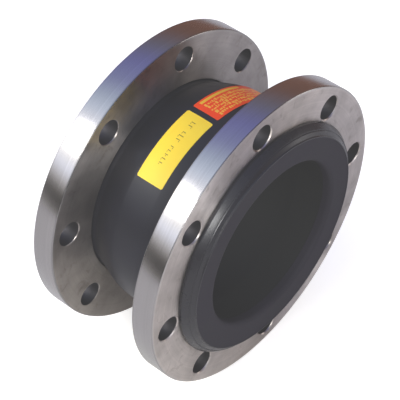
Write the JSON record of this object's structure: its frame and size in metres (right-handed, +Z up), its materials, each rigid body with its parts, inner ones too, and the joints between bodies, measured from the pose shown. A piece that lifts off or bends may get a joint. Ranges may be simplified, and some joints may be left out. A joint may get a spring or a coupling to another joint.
{
  "type": "rubber expansion joint",
  "caption": "Flexible rubber pipe connector with one low wide arch, swivelling steel backing flanges and moulded sealing faces, for taking up pipe movement.",
  "frame": {"origin": "the middle of the joint, on the pipe axis", "axes": "+X along the pipe axis towards the near flange, +Z up with the joint lying on its flange rims"},
  "size_m": [0.1524, 0.2794, 0.2794],
  "materials": {
    "flange_steel": "turned steel plate, satin",
    "cover_rubber": "moulded black rubber, matt",
    "tube_rubber": "smooth black rubber lining",
    "bead_rubber": "moulded black rubber, satin",
    "filler_rubber": "hard black rubber",
    "cord_fabric": "rubber-dipped nylon cord",
    "wrap_fabric": "rubber-dipped square-woven fabric",
    "bead_wire": "bronze-coated drawn steel wire",
    "yellow_film": "printed self-adhesive film, satin",
    "red_film": "printed self-adhesive film, satin"
  },
  "bodies": {
    "far_end": {"far_sealing_bead": "bead_rubber", "far_bead_wire": "bead_wire", "far_bead_wrap": "wrap_fabric", "far_bead_filler": "filler_rubber"},
    "far_flange": {"far_flange": "flange_steel"},
    "arch_far_half": {"inner_tube": "tube_rubber", "cord_ply_1": "cord_fabric", "cord_ply_2": "cord_fabric"},
    "arch_near_half": {"outer_cover": "cover_rubber", "cord_ply_3": "cord_fabric", "cord_ply_4": "cord_fabric", "yellow_label": "yellow_film", "red_label": "red_film"},
    "near_end": {"near_sealing_bead": "bead_rubber", "near_bead_wire": "bead_wire", "near_bead_wrap": "wrap_fabric", "near_bead_filler": "filler_rubber"},
    "near_flange": {"near_flange": "flange_steel"}
  },
  "joints": [
    {"name": "far_flange_swivel", "type": "hinge", "parent": "far_end", "child": "far_flange", "pos_m": [-0.0542, 0, 0], "axis": [1, 0, 0], "continuous": true},
    {"name": "axial_travel", "type": "slide", "parent": "far_end", "child": "arch_far_half", "axis": [1, 0, 0], "range_m": [-0.015, 0.01], "stiffness_N_per_m": 40000, "deforming": ["inner_tube", "cord_ply_1", "cord_ply_2", "cord_ply_3", "cord_ply_4", "outer_cover"]},
    {"name": "lateral_travel", "type": "slide", "parent": "arch_far_half", "child": "arch_near_half", "axis": [0, 1, 0], "range_m": [-0.012, 0.012], "stiffness_N_per_m": 45000, "deforming": ["inner_tube", "cord_ply_1", "cord_ply_2", "cord_ply_3", "cord_ply_4", "outer_cover"]},
    {"name": "angular_deflection", "type": "hinge", "parent": "arch_near_half", "child": "near_end", "pos_m": [0.0285, 0, 0], "axis": [0, 0, 1], "range_deg": [-10, 10], "stiffness_Nm_per_rad": 230, "deforming": ["inner_tube", "cord_ply_1", "cord_ply_2", "cord_ply_3", "cord_ply_4", "outer_cover"]},
    {"name": "near_flange_swivel", "type": "hinge", "parent": "near_end", "child": "near_flange", "pos_m": [0.0542, 0, 0], "axis": [1, 0, 0], "continuous": true}
  ]
}
